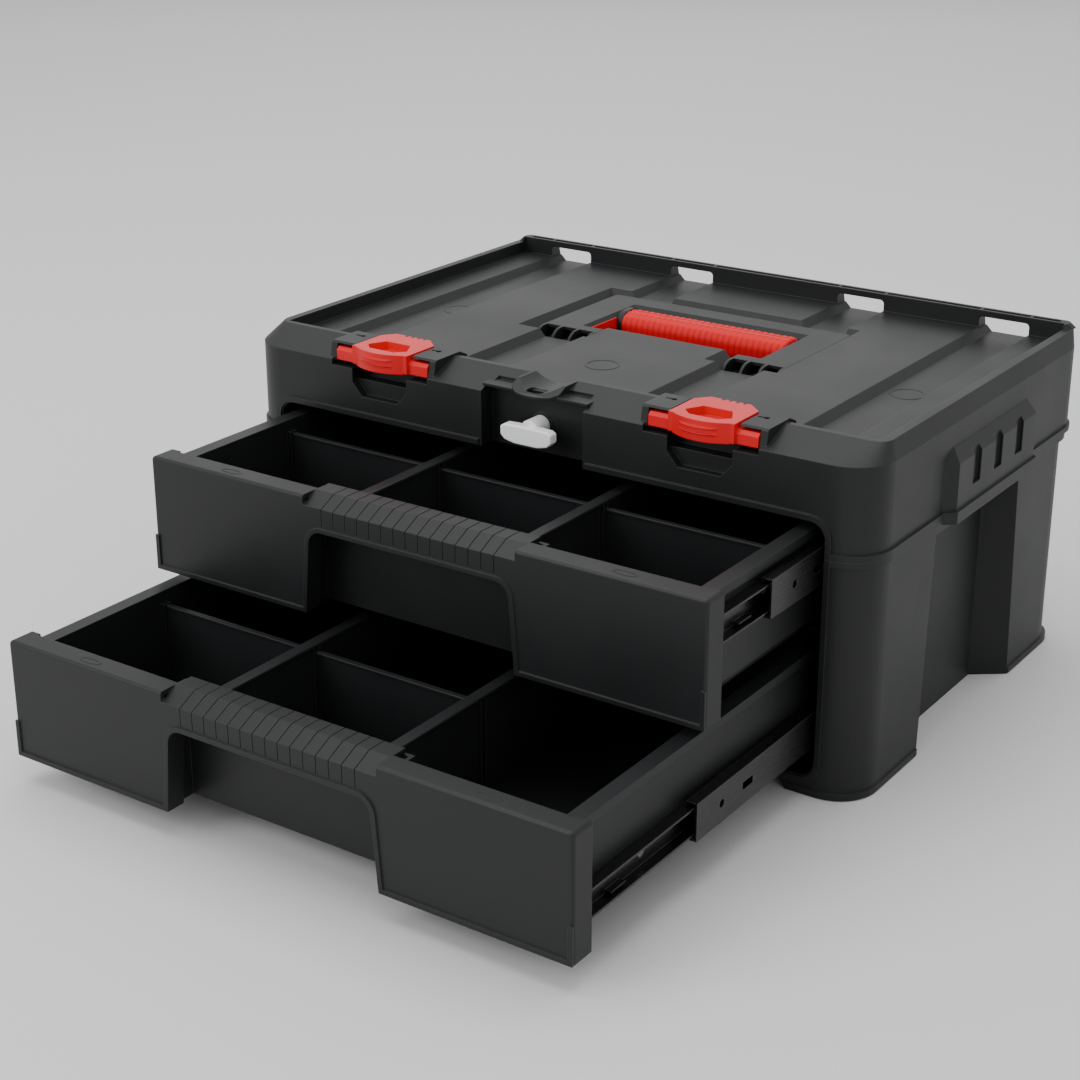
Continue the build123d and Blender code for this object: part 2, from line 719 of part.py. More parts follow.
# ---- slides ----
def channel(u_web, u_tip, half):
    """Channel rail along Y; u is measured from the drawer's side outwards."""
    step = slide_gauge if u_tip > u_web else -slide_gauge
    a, b = sorted((u_web, u_web + step))
    web = block(a, b, 0, slide_length, -half, half)
    a, b = sorted((u_web, u_tip))
    upper = block(a, b, 0, slide_length, half - slide_gauge, half)
    rail = joined([web, upper, upper.mirror(Plane.XY)])
    if u_tip < u_web:
        a, b = u_tip, u_tip + slide_gauge
        lip = block(a, b, 0, slide_length, half - 2.6, half)
        rail = joined([rail, lip, lip.mirror(Plane.XY)])
    return rail


def fixed_rail():
    return taken_away(channel(slide_width, 1.4, 14.0), rail_screw_seats(slide_width, -1))


def middle_rail():
    rail = channel(10.4, 3.0, 12.2)
    holes = [rod("x", (10, y, 0), 2.6, 4) for y in (28.0, 150.0, 262.0)]
    return taken_away(rail, holes + [block(8, 12, y, y + 12, -2.5, 2.5) for y in (52.0, 190.0)])


def drawer_rail():
    rail = channel(0.0, 8.2, 9.0)
    rail = rail - block(-1, 2, 13, 40, 2.5, 6.0)
    tab = block(0, 5.5, 24, 38, -6.5, -5.3)
    return taken_away(rail + tab, rail_screw_seats(0, 1))


def rail_screw_places():
    return (60.0, 140.0, 255.0)


def rail_screw_seats(u, direction):
    """Countersunk holes in a rail's web; the wide end faces along direction."""
    seats = []
    for y in rail_screw_places():
        cone = Cone(1.95, 3.15, slide_gauge)
        turn = Rot(0, 90 * direction, 0)
        seats.append(Pos(u + direction * slide_gauge / 2, y, 0) * turn * cone)
    return seats


def rail_shift(level, share):
    opened = lower_open if level == "lower" else upper_open
    return share * opened


def slide_parts(level, side):
    """The three rails of one slide, moved to their places with the drawer open."""
    z = lower_slide_z if level == "lower" else upper_slide_z
    name = level + "_" + ("left" if side < 0 else "right")
    start = front_y + rail_start

    def placed(shape, share):
        moved = Pos(tray_half_width, start - rail_shift(level, share), z) * shape
        return moved.mirror(Plane.YZ) if side < 0 else moved

    return {
        name + "_slide_fixed_rail": placed(fixed_rail(), 0),
        name + "_slide_middle_rail": placed(middle_rail(), middle_rail_share),
        name + "_slide_drawer_rail": placed(drawer_rail(), 1),
    }


# ---- latches ----
def latch():
    """Red latch on its own axis: plate with a window, lip and two wings."""
    b = latch_axis_back
    top = 230.4 - latch_axis_z
    rear = 40.0 - b
    outline = [(-latch_half, 1 - b), (latch_half, 1 - b), (latch_half, rear - 9), (latch_half - 10, rear)]
    outline += [(-latch_half + 7, rear), (-latch_half, rear - 9)]
    plate = plan_prism(outline, top - 4.4, top)
    chord = latch_half - 3
    bulge = 6.0
    radius = (chord ** 2 + bulge ** 2) / (2 * bulge)
    disc = rod("z", (0, 1 - b - bulge + radius, top - 6.6), radius, 13.2)
    lip = disc & block(-chord, chord, -20, 6 - b, -30, 30)
    corners = block(-latch_half, latch_half, 1 - b, 6 - b, top - 12.6, top)
    hexagon = [(-16.5, 10 - b), (-10, 3.5 - b), (10, 3.5 - b), (16.5, 10 - b), (10, 22 - b), (-10, 22 - b)]
    wing = [(-4.8, -4.4), (4.6, -4.4), (4.6, 2.6), (2.2, 4.6), (-2.6, 4.6), (-4.8, 2.4)]
    bar = side_prism(wing, -latch_wing_half, latch_wing_half)
    bar = bar - block(-latch_half + 5, latch_half - 5, -3.4, 20, -20, top - 4.4)
    body = joined([plate, lip, corners, bar])
    tray_floor_z = top - 6.6
    tub = block(-18, 18, -5.6, 15.6, tray_floor_z, top - 4.0)
    body = (body + tub) - plan_prism(hexagon, tray_floor_z + 1.2, top + 5)
    ribs = [block(x - 1.0, x + 1.0, rear - 2.2, rear + 1, top - 1.2, top + 1) for x in (-6, -1, 4, 9)]
    lip_lines = [disc_line(radius, 1 - b - bulge, z) for z in (top - 4.0, top - 8.0)]
    body = taken_away(body, ribs) + (joined(lip_lines) & block(-13, 13, -20, 4 - b, -30, 30))
    return body - rod("x", (0, 0, 0), 1.6, 2 * latch_wing_half + 2)


def disc_line(radius, y_front, z):
    ring = rod("z", (0, y_front - 0.6 + radius, z), radius, 1.0)
    return ring - rod("z", (0, y_front + 1.0 + radius, z), radius, 2.0)


def latch_pin(x):
    length = 2 * (latch_wing_half + 2.6)
    return rod("x", (x, front_y + latch_axis_back, latch_axis_z), 1.5, length)


# ---- handle ----
def handle_frame():
    """Frame of the carry handle, lying in its well, with eight hinge ribs."""
    left, right = -96.2, 99.2
    y_axis = front_y + handle_axis_back
    y0 = y_axis + 3.5
    y1 = front_y + 251.0
    z1 = deck_z - 0.7
    body = block(left, right, y0, y1, z1 - 8, z1)
    body = fillet(body.edges().filter_by(Axis.Z).group_by(Axis.Y)[-1], 3.0)
    body = body - block(tongue_left - 1.6, tongue_right + 12.6, y0 - 5, front_y + 168.6, 190, 240)
    window = block(-67.0, 71.5, front_y + 168.0, front_y + 231.0, 190, 240)
    body = body - fillet(window.edges().filter_by(Axis.Z), 1.6)
    y_mid = front_y + 199.5
    low = Pos(2.25, y_mid, z1 - 3.2) * Rectangle(138.5, 63.0)
    high = Pos(2.25, y_mid, z1 + 0.2) * Rectangle(145.3, 69.8)
    body = body - loft([low, high], ruled=True)
    for ribs in hinge_ribs:
        for left, right in zip(ribs[:-1], ribs[1:]):
            cell = block(left + 1, right - 1, y0 - 1, y_axis + 12.5, 190, z1 - 2.5)
            body = body - cell
        for x in ribs:
            disc = rod("x", (x, y_axis, handle_axis_z), z1 - handle_axis_z, 2.0)
            gusset = block(x - 1, x + 1, y_axis, y_axis + 12, handle_axis_z - 4, z1)
            body = body + disc + gusset
    for x0, x1 in ((-76.0, -66.5), (71.0, 79.0)):
        body = body + block(x0, x1, front_y + 205.0, front_y + 229.0, 196.5, z1 - 4)
    core = block(-74.0, 77.0, front_y + 209.0, front_y + 225.0, 200.0, 214.0)
    return taken_away(body + core, handle_pin_bores(2.6))


def handle_grip():
    """Soft red sleeve on the handle's bar."""
    y_mid = front_y + 217.0
    z_mid = 207.3
    outline = RectangleRounded(26, 23.5, 9.5)
    sleeve = extrude(Plane.YZ.offset(-66.4) * Pos(y_mid, z_mid) * outline, amount=137.3)
    core = block(-74, 80, front_y + 208.9, front_y + 225.1, 199.9, 214.1)
    return sleeve - core


def handle_pin(ribs):
    y = front_y + handle_axis_back
    return rod("x", ((ribs[0] + ribs[-1]) / 2, y, handle_axis_z), 2.5, 43.2)


# ---- lock ----
def lock_knob():
    """White bow-shaped knob with a round dimple, on its round hub."""
    y0 = front_y - 7.0
    outline = [(-19.5, -4.5), (-16.5, -7.5), (-9, -9.2), (9, -9.2), (16.5, -7.5), (19.5, -4.5), (19.5, 1.0)]
    outline += [(17, 2.6), (9, 3.0), (-9, 3.0), (-17, 2.6), (-19.5, 1.0)]
    bow = Pos(0, 0, lock_z) * front_prism(outline, y0, y0 + 7.0)
    bow = fillet(bow.edges().filter_by(Axis.Y), 1.4)
    bow = fillet(bow.edges().group_by(Axis.Y)[0], 1.0)
    back = front_y + lock_wall_back - 1.4
    hub = rod("y", (0, (y0 + 5 + back) / 2, lock_z), 6.6, back - y0 - 5)
    dimple = rod("z", (-3.0, y0 + 4.2, lock_z + 3.4), 2.6, 2.4)
    return (bow + hub) - dimple - rod("y", (0, front_y + 8, lock_z), 2.5, 13.6)


def lock_spindle():
    """Shaft through the recess wall with the locking cam on its inner end."""
    wall_back = front_y + lock_wall_back
    shaft = rod("y", (0, wall_back + 3, lock_z), 4.2, 5.6) + rod("y", (0, wall_back - 5, lock_z), 2.4, 13)
    cam = block(-6, 18, wall_back + 4.5, wall_back + 7.5, lock_z - 6, lock_z + 6)
    cam = fillet(cam.edges().filter_by(Axis.Y), 5.0)
    return shaft + cam


# ---- screws ----
def screw(direction, place, head_radius, head_height, shank_radius, length):
    """Pan-head screw; direction points from the shank to the head."""
    head = Pos(0, 0, head_height / 2) * Cylinder(head_radius, head_height)
    head = fillet(head.edges().group_by(Axis.Z)[-1], head_height * 0.4)
    shank = Pos(0, 0, -length / 2) * Cylinder(shank_radius, length + 0.02)
    cross = Box(1.4 * head_radius, 0.6, 1.2) + Box(0.6, 1.4 * head_radius, 1.2)
    return Plane(origin=place, z_dir=direction) * (head + shank - Pos(0, 0, head_height) * cross)


def flush_screw(direction, place, length):
    """Countersunk screw, its flat head level with a rail's web."""
    head = Pos(0, 0, -slide_gauge / 2) * Cone(1.85, 3.05, slide_gauge)
    shank = Pos(0, 0, -slide_gauge - length / 2 + 0.1) * Cylinder(1.8, length + 0.2)
    cross = Box(3.6, 0.6, 1.0) + Box(0.6, 3.6, 1.0)
    return Plane(origin=place, z_dir=direction) * (head + shank - cross)


def rail_screws(level, on_drawer):
    """Screws of one drawer's rails: into the tray's sides or into the casing."""
    z = lower_slide_z if level == "lower" else upper_slide_z
    shift = rail_shift(level, 1) if on_drawer else 0
    u = slide_gauge if on_drawer else slide_width - slide_gauge
    direction = (1, 0, 0) if on_drawer else (-1, 0, 0)
    length = 2.2 if on_drawer else 4.0
    made = []
    for y in rail_screw_places():
        place = (tray_half_width + u, front_y + rail_start + y - shift, z)
        made += both_sides(flush_screw(direction, place, length))
    return Compound(children=made)


def front_screws(place):
    """Screws from inside the tray into the drawer front."""
    made = []
    for x, z in front_screw_places():
        made.append(place * screw((0, 1, 0), (x, front_thickness, z), 2.8, 1.6, 1.2, 8.0))
    return Compound(children=made)


def joint_screws():
    """Screws from below that join the casing to the top housing."""
    made = []
    for x, y in joint_screw_places():
        made.append(screw((0, 0, -1), (x, y, seam_z - 24.0), 3.4, 2.0, 1.5, 36.0))
    return Compound(children=made)


# ---- assembly ----
def drawer_nodes(level):
    opened = lower_open if level == "lower" else upper_open
    z = lower_front_z if level == "lower" else upper_front_z
    slide_z = lower_slide_z if level == "lower" else upper_slide_z
    place = Pos(0, front_y - opened, z)
    nodes = {
        level + "_drawer_front": place * drawer_front(),
        level + "_drawer_tray": place * tray(slide_z - z),
        level + "_drawer_front_screws": front_screws(place),
        level + "_long_divider_left": place * long_divider(-divider_x),
        level + "_long_divider_right": place * long_divider(divider_x),
    }
    spans = cross_divider_spans()
    wanted = ("left", "middle") if level == "lower" else ("left", "middle", "right")
    for name in wanted:
        nodes[level + "_cross_divider_" + name] = place * cross_divider(*spans[name])
    return nodes


def latch_nodes():
    nodes = {}
    for name, x in (("left", -latch_x), ("right", latch_x)):
        place = Pos(x, front_y + latch_axis_back, latch_axis_z)
        nodes["latch_" + name] = place * latch()
        nodes["latch_pin_" + name] = latch_pin(x)
    return nodes


def all_nodes():
    nodes = {"lower_casing": lower_casing(), "top_housing": top_housing()}
    for level in ("lower", "upper"):
        nodes.update(drawer_nodes(level))
        for side in (-1, 1):
            nodes.update(slide_parts(level, side))
        nodes[level + "_rail_screws_drawer"] = rail_screws(level, True)
        nodes[level + "_rail_screws_casing"] = rail_screws(level, False)
    nodes.update(latch_nodes())
    nodes["handle_frame"] = handle_frame()
    nodes["handle_grip"] = handle_grip()
    nodes["handle_pins"] = Compound(children=[handle_pin(ribs) for ribs in hinge_ribs])
    nodes["lock_knob"] = lock_knob()
    nodes["lock_spindle"] = lock_spindle()
    nodes["joint_screws"] = joint_screws()
    return nodes


def main():
    os.makedirs("parts", exist_ok=True)
    for name, shape in all_nodes().items():
        export_step(shape, "parts/" + name + ".step")
        print(name)


main()
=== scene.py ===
# %% [markdown]
# # A plastic tool box with two drawers
# The box is a stacking module: a moulded casing on four feet, a housing with a flat deck on
# top of it, and two drawers that roll out on steel slides. The frame brings every rigid piece
# at its real size. This scene gives each piece its finish, adds the fine moulded detail, and
# sets the light and the camera.

# %% Load the frame
import bpy
import bmesh
import json
import math
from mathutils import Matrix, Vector


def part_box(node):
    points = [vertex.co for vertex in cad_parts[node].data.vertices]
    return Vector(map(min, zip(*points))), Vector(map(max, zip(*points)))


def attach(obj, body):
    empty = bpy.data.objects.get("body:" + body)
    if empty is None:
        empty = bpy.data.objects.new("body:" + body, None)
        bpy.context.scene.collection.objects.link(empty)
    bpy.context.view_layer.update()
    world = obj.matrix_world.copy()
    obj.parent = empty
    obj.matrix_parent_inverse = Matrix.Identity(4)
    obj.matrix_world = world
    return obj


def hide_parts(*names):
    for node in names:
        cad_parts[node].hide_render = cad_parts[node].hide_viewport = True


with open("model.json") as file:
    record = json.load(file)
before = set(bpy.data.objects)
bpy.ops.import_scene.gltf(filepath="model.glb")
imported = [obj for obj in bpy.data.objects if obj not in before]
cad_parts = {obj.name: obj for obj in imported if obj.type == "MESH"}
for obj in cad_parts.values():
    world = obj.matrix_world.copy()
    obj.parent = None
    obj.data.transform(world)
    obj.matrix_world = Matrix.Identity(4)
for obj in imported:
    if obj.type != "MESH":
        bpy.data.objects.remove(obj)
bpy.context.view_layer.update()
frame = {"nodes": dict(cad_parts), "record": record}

MM = 0.001
nodes = frame["nodes"]

# %% [markdown]
# ## Camera
# The camera stands where the photographer's did: a little over a metre away, to the right of
# the drawers and above them. A long lens keeps the sides of the box nearly parallel.

# %% Camera
CAMERA_PLACE = Vector((713.3, -1183.5, 619.5)) * MM
CAMERA_AZIMUTH = 34.49
CAMERA_ELEVATION = 21.12
FOCAL_PIXELS = 2054.0
FRAME_PIXELS = 1080.0
AXIS_PIXEL = (549.5, 516.9)

camera_data = bpy.data.cameras.new("camera")
camera_data.sensor_width = 36.0
camera_data.lens = FOCAL_PIXELS / FRAME_PIXELS * camera_data.sensor_width
camera_data.shift_x = 0.5 - AXIS_PIXEL[0] / FRAME_PIXELS
camera_data.shift_y = AXIS_PIXEL[1] / FRAME_PIXELS - 0.5
camera = bpy.data.objects.new("camera", camera_data)
camera.location = CAMERA_PLACE
camera.rotation_euler = (math.radians(90 - CAMERA_ELEVATION), 0, math.radians(CAMERA_AZIMUTH))
bpy.context.scene.collection.objects.link(camera)
bpy.context.scene.camera = camera
print("lens mm", round(camera_data.lens, 2))

# %% [markdown]
# ## Helpers for materials
# Every finish is a small tree of nodes. One function adds a node, sets what it is given and
# links its inputs, so that a finish reads from top to bottom.


# %% Material helpers
def linear(hex_colour):
    """sRGB hex, such as "#2b2c2e", as a linear RGBA colour."""
    channels = [int(hex_colour[i:i + 2], 16) / 255 for i in (1, 3, 5)]
    lin = [c / 12.92 if c <= 0.04045 else ((c + 0.055) / 1.055) ** 2.4 for c in channels]
    return (*lin, 1.0)


def add(tree, kind, settings=None, **inputs):
    """Adds a node; inputs are values or sockets, by the socket's name with _ for a space."""
    node = tree.nodes.new(kind)
    for key, value in (settings or {}).items():
        setattr(node, key, value)
    for key, value in inputs.items():
        name = int(key[1:]) if key[0] == "i" and key[1:].isdigit() else key.replace("_", " ")
        socket = node.inputs[name]
        if isinstance(value, bpy.types.NodeSocket):
            tree.links.new(value, socket)
        else:
            socket.default_value = value
    return node


def new_material(name):
    """A material with an empty tree and its output node."""
    material = bpy.data.materials.new(name)
    material.use_nodes = True
    tree = material.node_tree
    tree.nodes.clear()
    return material, tree, tree.nodes.new("ShaderNodeOutputMaterial")


def finish_material(tree, output, shader):
    tree.links.new(shader.outputs[0], output.inputs["Surface"])


# %% [markdown]
# ## Moulded plastic
# The casing, the drawers and the dividers are black polypropylene, injection moulded in a
# sparked (finely grained) tool. That gives a soft sheen with no sharp reflection, faint clouds
# of gloss where the tool was polished more, and slightly rounded edges. A lighter colour is
# painted along the edges as a highlight, where the rounded edges catch the light.
# The grain is really about 0.3 mm; here it is drawn at 0.9 mm so that it shows.


# %% Moulded plastic
GRAIN = 0.9 * MM
EDGE_ROUND = 0.7 * MM
CLOUD_SCALE = 14.0
GRAIN_HEIGHT = 0.25
PLASTIC_IOR = 1.49


def moulded_plastic(name, dark, light, roughness, grain=0.10, edge_light=0.5, gleam=0.32):
    """Grained plastic: clouds of tone, grain bump, rounded edges with a painted highlight.

    gleam is below 0.5 because the grain shades part of each reflection.
    """
    material, tree, output = new_material(name)
    place = add(tree, "ShaderNodeTexCoord").outputs["Object"]
    clouds = add(tree, "ShaderNodeTexNoise", Vector=place, Scale=CLOUD_SCALE, Detail=4.0, Roughness=0.55)
    fine = add(tree, "ShaderNodeTexNoise", Vector=place, Scale=1.0 / GRAIN, Detail=2.0)
    speck = add(tree, "ShaderNodeTexVoronoi", Vector=place, Scale=0.7 / GRAIN)
    rounded = add(tree, "ShaderNodeBevel", {"samples": 6}, Radius=EDGE_ROUND)
    flat = add(tree, "ShaderNodeNewGeometry")
    meet = add(tree, "ShaderNodeVectorMath", {"operation": "DOT_PRODUCT"},
               i0=rounded.outputs[0], i1=flat.outputs["Normal"])
    # Mask of the rounded edges, for the painted highlight along them.
    edge = add(tree, "ShaderNodeMapRange", i0=meet.outputs["Value"],
               i1=0.995, i2=0.80, i3=0.0, i4=edge_light)
    tone = add(tree, "ShaderNodeMix", {"data_type": "RGBA"}, i0=clouds.outputs["Fac"],
               i6=linear(dark), i7=linear(light))
    # Painted highlight: a light grey screened onto the edges, in place of the light they catch.
    painted_edge_highlight = add(tree, "ShaderNodeMix", {"data_type": "RGBA", "blend_type": "SCREEN"},
                 i0=edge.outputs[0], i6=tone.outputs[2], i7=linear("#3a3c3f"))
    gloss = add(tree, "ShaderNodeMapRange", i0=clouds.outputs["Fac"], i1=0.3, i2=0.7,
                i3=roughness - 0.03, i4=roughness + 0.04)
    height = add(tree, "ShaderNodeMath", {"operation": "ADD"},
                 i0=fine.outputs["Fac"], i1=speck.outputs["Distance"])
    bump = add(tree, "ShaderNodeBump", Strength=grain, Distance=GRAIN * GRAIN_HEIGHT,
               Height=height.outputs[0], Normal=rounded.outputs[0])
    shader = add(tree, "ShaderNodeBsdfPrincipled", Base_Color=painted_edge_highlight.outputs[2],
                 Roughness=gloss.outputs[0], Normal=bump.outputs[0],
                 IOR=PLASTIC_IOR, Specular_IOR_Level=gleam)
    finish_material(tree, output, shader)
    return material


casing_plastic = moulded_plastic("black polypropylene, sparked", "#141516", "#1b1c1d", 0.46)
drawer_plastic = moulded_plastic("black polypropylene, drawers", "#151617", "#1c1d1e", 0.43)
divider_plastic = moulded_plastic("black polypropylene, satin", "#1a1b1c", "#232425", 0.36, grain=0.05)
print("plastics", casing_plastic.name, drawer_plastic.name, divider_plastic.name)

# %% [markdown]
# ## Red and white plastic
# The latches are a red glass-filled nylon, the grip a softer red sleeve moulded over the bar,
# and the knob a white acetal. All are coloured right through, so a scratch stays red.

# %% Red and white plastic
latch_red = moulded_plastic(
    "red nylon, moulded", "#cc0a12", "#d8131a", 0.36, grain=0.05, edge_light=0.2, gleam=0.3)
grip_red = moulded_plastic(
    "red soft-touch elastomer", "#cc0710", "#d81018", 0.5, grain=0.08, edge_light=0.05, gleam=0.2)
knob_white = moulded_plastic(
    "white acetal, moulded", "#eceded", "#f5f6f6", 0.30, grain=0.03, edge_light=0.0)


# %% [markdown]
# ## Steel
# The slides are rolled steel strip, black coated. A bare steel colour is painted along every
# edge: partly the coating worn bright where the rails rub, partly a painted highlight where the
# edges catch the light. Screws and pins are bright zinc plated, with the same lighter colour
# painted on their edges as a highlight.


# %% Steel
def coated_steel(name, coat, bare_and_highlight, roughness, metal, edge_mm):
    material, tree, output = new_material(name)
    place = add(tree, "ShaderNodeTexCoord").outputs["Object"]
    drawn = add(tree, "ShaderNodeMapping", Vector=place, Scale=(1.0, 0.05, 1.0))
    lines = add(tree, "ShaderNodeTexNoise", Vector=drawn.outputs[0], Scale=900.0, Detail=3.0)
    rounded = add(tree, "ShaderNodeBevel", {"samples": 6}, Radius=edge_mm * MM)
    flat = add(tree, "ShaderNodeNewGeometry")
    meet = add(tree, "ShaderNodeVectorMath", {"operation": "DOT_PRODUCT"},
               i0=rounded.outputs[0], i1=flat.outputs["Normal"])
    # Mask of the rounded edges, where the colour turns to bare steel: wear and painted highlight.
    wear_and_highlight_mask = add(tree, "ShaderNodeMapRange", i0=meet.outputs["Value"], i1=0.97, i2=0.85, i3=0.0, i4=0.45)
    colour = add(tree, "ShaderNodeMix", {"data_type": "RGBA"}, i0=wear_and_highlight_mask.outputs[0],
                 i6=linear(coat), i7=linear(bare_and_highlight))
    gloss = add(tree, "ShaderNodeMapRange", i0=lines.outputs["Fac"], i1=0.3, i2=0.7,
                i3=roughness - 0.06, i4=roughness + 0.06)
    bump = add(tree, "ShaderNodeBump", Strength=0.08, Distance=0.0001,
               Height=lines.outputs["Fac"], Normal=rounded.outputs[0])
    shader = add(tree, "ShaderNodeBsdfPrincipled", Base_Color=colour.outputs[2],
                 Metallic=metal, Roughness=gloss.outputs[0], Normal=bump.outputs[0])
    finish_material(tree, output, shader)
    return material


# The second colour goes on the edges: worn bare steel and a painted highlight on the slides, a painted
# highlight only on the zinc.
slide_black = coated_steel("steel strip, black coated", "#0b0b0c", "#8d8f92", 0.30, 0.15, 0.35)
zinc_bright = coated_steel("steel, zinc plated", "#a9abae", "#c9cbce", 0.28, 1.0, 0.2)

# %% Put the finishes on the frame's nodes
FINISH_OF_SLOT = {
    "casing_plastic": casing_plastic,
    "drawer_plastic": drawer_plastic,
    "divider_plastic": divider_plastic,
    "red_plastic": latch_red,
    "red_rubber": grip_red,
    "white_plastic": knob_white,
    "slide_steel": slide_black,
    "bright_steel": zinc_bright,
}
for part in frame["record"]["subparts"]:
    cad_object = nodes[part["node"]]
    for material_slot in cad_object.material_slots:
        material_slot.material = FINISH_OF_SLOT[part["material_slot"]]

# %% [markdown]
# ## The grip's sleeve
# The bar of the handle is covered by a red sleeve. Its top carries rows of small overlapping
# scales, and its front upright grooves, so that a wet hand holds. A sleeve like this could be
# sculpted, or made from copies of one scale; here the section is swept along the bar and every
# point is pushed in by a rule, because the scales melt into each other and keep one skin.

# %% Sizes of the sleeve
GRIP_LOW, GRIP_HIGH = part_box("handle_grip")
GRIP_CORNER = 9.5 * MM
GRIP_STEP = 0.55 * MM
SCALE_WIDE = 5.2 * MM
SCALE_LONG = 6.6 * MM
SCALE_DEEP = 1.1 * MM
SCALE_ROWS = 4
SCALE_START = 4.0 * MM
GROOVE_PITCH = 4.8 * MM
GROOVE_WIDE = 1.3 * MM
GROOVE_DEEP = 0.9 * MM
GROOVE_LONG = 22 * MM
GROOVE_FADE = 2.0 * MM
END_ROUND = 2.5 * MM
print("grip", [round((b - a) / MM, 1) for a, b in zip(GRIP_LOW, GRIP_HIGH)])


# %% Section of the sleeve
def rounded_section(half_y, half_z, radius, step):
    """Points and outward directions round a rounded rectangle, from the rear over the top."""
    arc = radius * math.pi / 2
    runs = [("flat", (1, 0), half_z - radius), ("arc", 0, arc), ("flat", (0, 1), 2 * (half_y - radius)),
            ("arc", 1, arc), ("flat", (-1, 0), 2 * (half_z - radius)), ("arc", 2, arc),
            ("flat", (0, -1), 2 * (half_y - radius)), ("arc", 3, arc), ("flat", (1, 0), half_z - radius)]
    place, points = Vector((half_y, 0)), []
    travelled = 0.0
    for kind, what, length in runs:
        count = max(1, round(length / step))
        for index in range(count):
            part = index / count
            if kind == "flat":
                out = Vector(what)
                along = Vector((-out.y, out.x))
                points.append((place + along * length * part, out, travelled + length * part))
            else:
                angle = math.pi / 2 * (what + part)
                out = Vector((math.cos(angle), math.sin(angle)))
                start = Vector((math.cos(math.pi / 2 * what), math.sin(math.pi / 2 * what)))
                points.append((place - start * radius + out * radius, out, travelled + length * part))
        if kind == "flat":
            out = Vector(what)
            place = place + Vector((-out.y, out.x)) * length
        else:
            start = Vector((math.cos(math.pi / 2 * what), math.sin(math.pi / 2 * what)))
            end = Vector((math.cos(math.pi / 2 * (what + 1)), math.sin(math.pi / 2 * (what + 1))))
            place = place - start * radius + end * radius
        travelled += length
    return points


# %% Rule for the scales and the grooves
def scale_depth(x, s):
    """How far a point of the sleeve lies below its skin, from its place along and round the bar."""
    zone_end = SCALE_START + SCALE_ROWS * SCALE_LONG
    if SCALE_START <= s < zone_end:
        row = (s - SCALE_START) / SCALE_LONG
        best = 0.0
        for candidate in (math.floor(row), math.floor(row) - 1):
            u = (x / SCALE_WIDE + 0.5 * (candidate % 2)) % 1.0 - 0.5
            reach = row - candidate
            lip = 1.0 + 0.45 * (1 - (2 * u) ** 2)
            if reach < lip:
                best = max(best, min(1.0, 0.25 + 0.75 * reach / lip) if candidate >= 0 else 0.6)
        return SCALE_DEEP * (1.0 - best)
    if zone_end <= s < zone_end + GROOVE_LONG:
        u = abs((x / GROOVE_PITCH) % 1.0 - 0.5) * GROOVE_PITCH
        fade = min(1.0, (s - zone_end) / GROOVE_FADE)
        return GROOVE_DEEP * fade * max(0.0, 1.0 - (u / (GROOVE_WIDE / 2)) ** 2)
    return 0.0


# %% Make the sleeve
def grip_sleeve():
    """The whole sleeve: its section swept along the bar, with the scales and grooves pushed in."""
    half_y = (GRIP_HIGH[1] - GRIP_LOW[1]) / 2
    half_z = (GRIP_HIGH[2] - GRIP_LOW[2]) / 2
    mid_y = (GRIP_HIGH[1] + GRIP_LOW[1]) / 2
    mid_z = (GRIP_HIGH[2] + GRIP_LOW[2]) / 2
    section = rounded_section(half_y, half_z, GRIP_CORNER, GRIP_STEP)
    count = round((GRIP_HIGH[0] - GRIP_LOW[0]) / GRIP_STEP)
    vertices, faces = [], []
    for i in range(count + 1):
        x = GRIP_LOW[0] + (GRIP_HIGH[0] - GRIP_LOW[0]) * i / count
        from_end = min(x - GRIP_LOW[0], GRIP_HIGH[0] - x)
        sink = END_ROUND - math.sqrt(max(0.0, END_ROUND ** 2 - max(0.0, END_ROUND - from_end) ** 2))
        for place, out, s in section:
            depth = sink + scale_depth(x - GRIP_LOW[0], s)
            vertices.append((x, mid_y + place.x - out.x * depth, mid_z + place.y - out.y * depth))
    ring = len(section)
    for i in range(count):
        for j in range(ring):
            a, b = i * ring + j, i * ring + (j + 1) % ring
            faces.append((a, a + ring, b + ring, b))
    faces.append(tuple(range(ring)))
    faces.append(tuple(reversed(range(count * ring, (count + 1) * ring))))
    mesh = bpy.data.meshes.new("grip_sleeve")
    mesh.from_pydata(vertices, [], faces)
    shape = bmesh.new()
    shape.from_mesh(mesh)
    bmesh.ops.recalc_face_normals(shape, faces=shape.faces)
    shape.to_mesh(mesh)
    shape.free()
    for polygon in mesh.polygons:
        polygon.use_smooth = len(polygon.vertices) == 4
    sleeve = bpy.data.objects.new("grip_sleeve", mesh)
    bpy.context.scene.collection.objects.link(sleeve)
    mesh.materials.append(grip_red)
    return sleeve


sleeve = grip_sleeve()
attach(sleeve, "handle")
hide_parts("handle_grip")
print("sleeve faces", len(sleeve.data.polygons))

# %% [markdown]
# ## Copies with geometry nodes
# Moulded detail is often one small shape repeated, such as the fine ribs on the latches. A
# geometry node tree copies a shape to points. Its inputs are named sizes, and it ends by
# making the copies real.


